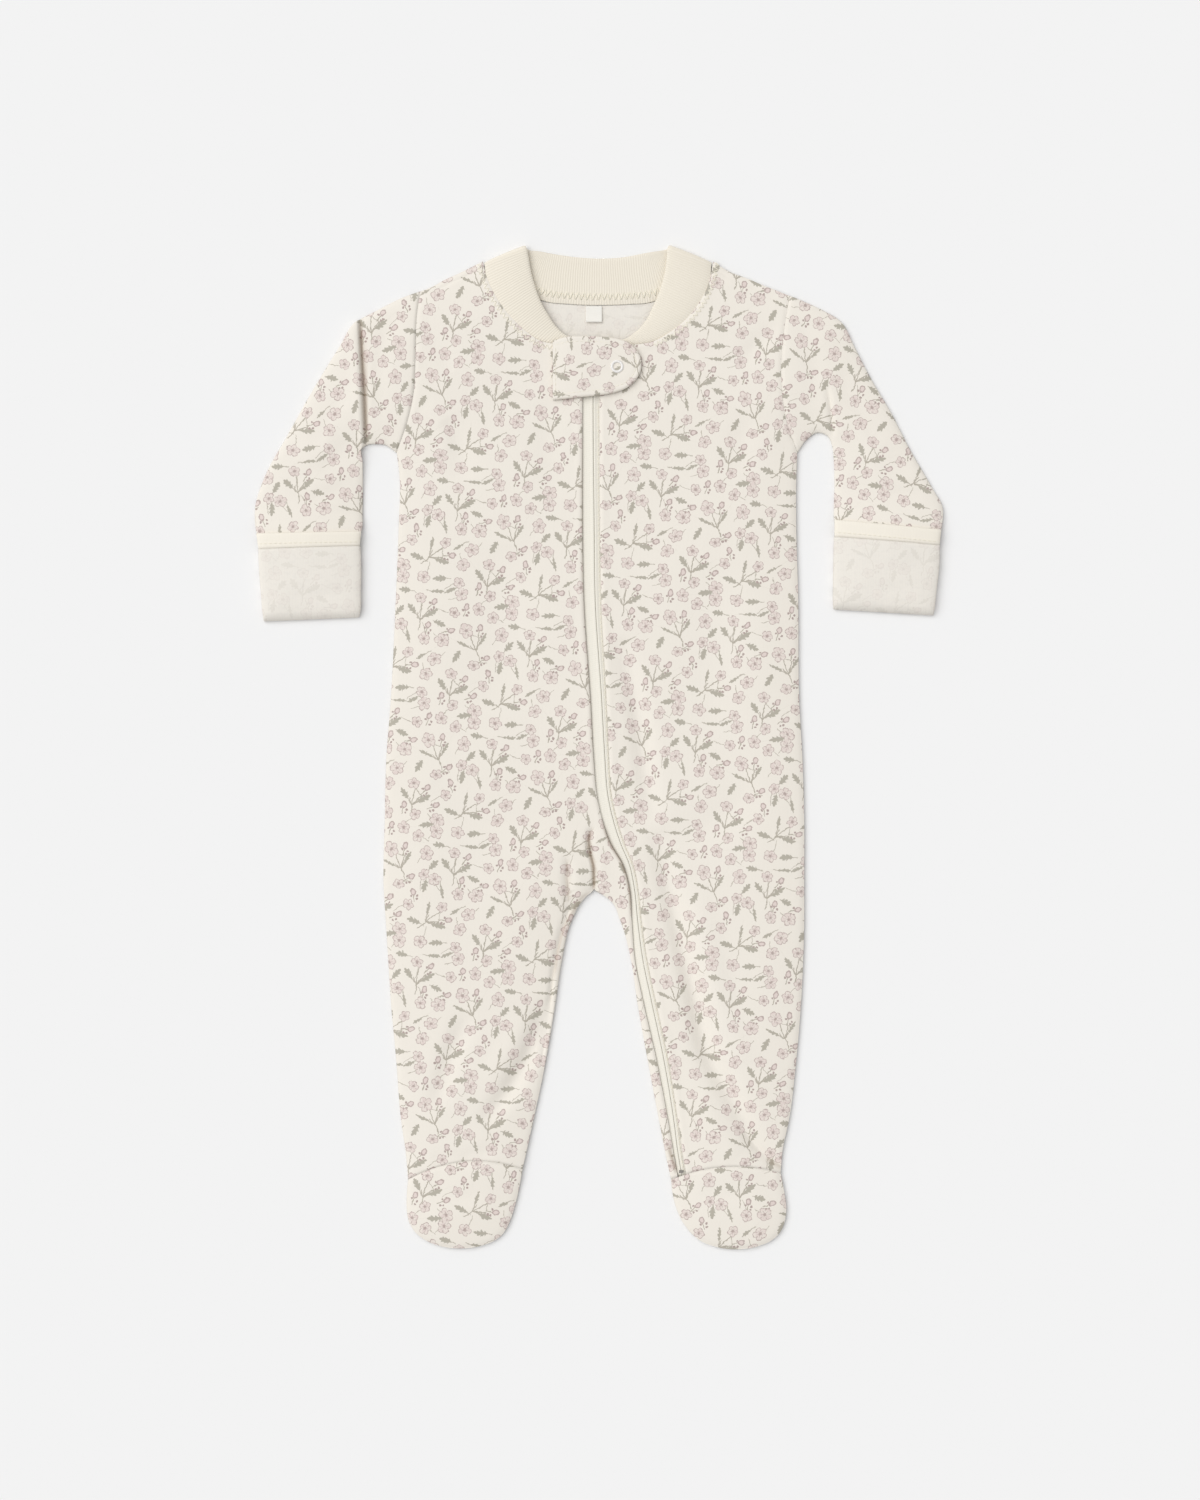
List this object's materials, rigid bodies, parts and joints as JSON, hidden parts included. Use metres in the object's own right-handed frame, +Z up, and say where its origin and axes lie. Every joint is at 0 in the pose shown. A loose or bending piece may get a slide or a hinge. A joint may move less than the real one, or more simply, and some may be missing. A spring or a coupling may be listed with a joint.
{
  "type": "footed baby sleepsuit",
  "caption": "Baby's footed sleepsuit laid flat, with a rib neckband, long sleeves, fold-over hand mitts and a zip from neck to ankle.",
  "frame": {"origin": "on the surface the garment lies on, under the middle of its bounding box", "axes": "+X to the image right across the shoulders, +Y from the feet to the neck, +Z up from the surface through the back and the front"},
  "size_m": [0.4113, 0.602, 0.0111],
  "materials": {
    "printed_knit": "fine cotton jersey, cream with a small scattered flower print in dusty mauve and sage",
    "wrong_side_knit": "wrong side of the same jersey, the print showing through faintly",
    "cream_binding": "plain cream jersey binding with a row of coverstitch",
    "cream_rib": "fine cream rib knit",
    "zip_tape": "woven cream polyester tape, closed coil behind it",
    "woven_label": "small plain woven label",
    "pearl_plastic": "pearl white ring snap",
    "zip_metal": "small dull metal zip parts"
  },
  "bodies": {
    "root": {"back": "printed_knit", "front_left": "printed_knit", "front_right": "printed_knit", "sleeve_left": "printed_knit", "sleeve_right": "printed_knit", "foot_upper_left": "printed_knit", "foot_upper_right": "printed_knit", "sole_left": "printed_knit", "sole_right": "printed_knit", "chin_tab": "printed_knit", "mitten_left": "wrong_side_knit", "mitten_right": "wrong_side_knit", "binding_left": "cream_binding", "binding_right": "cream_binding", "neckband": "cream_rib", "zip_tape_left": "zip_tape", "zip_tape_right": "zip_tape", "size_label": "woven_label", "snap_ring": "pearl_plastic", "snap_stud": "pearl_plastic", "zip_slider": "zip_metal", "zip_pull": "zip_metal", "zip_bottom_stop": "zip_metal"}
  },
  "joints": []
}
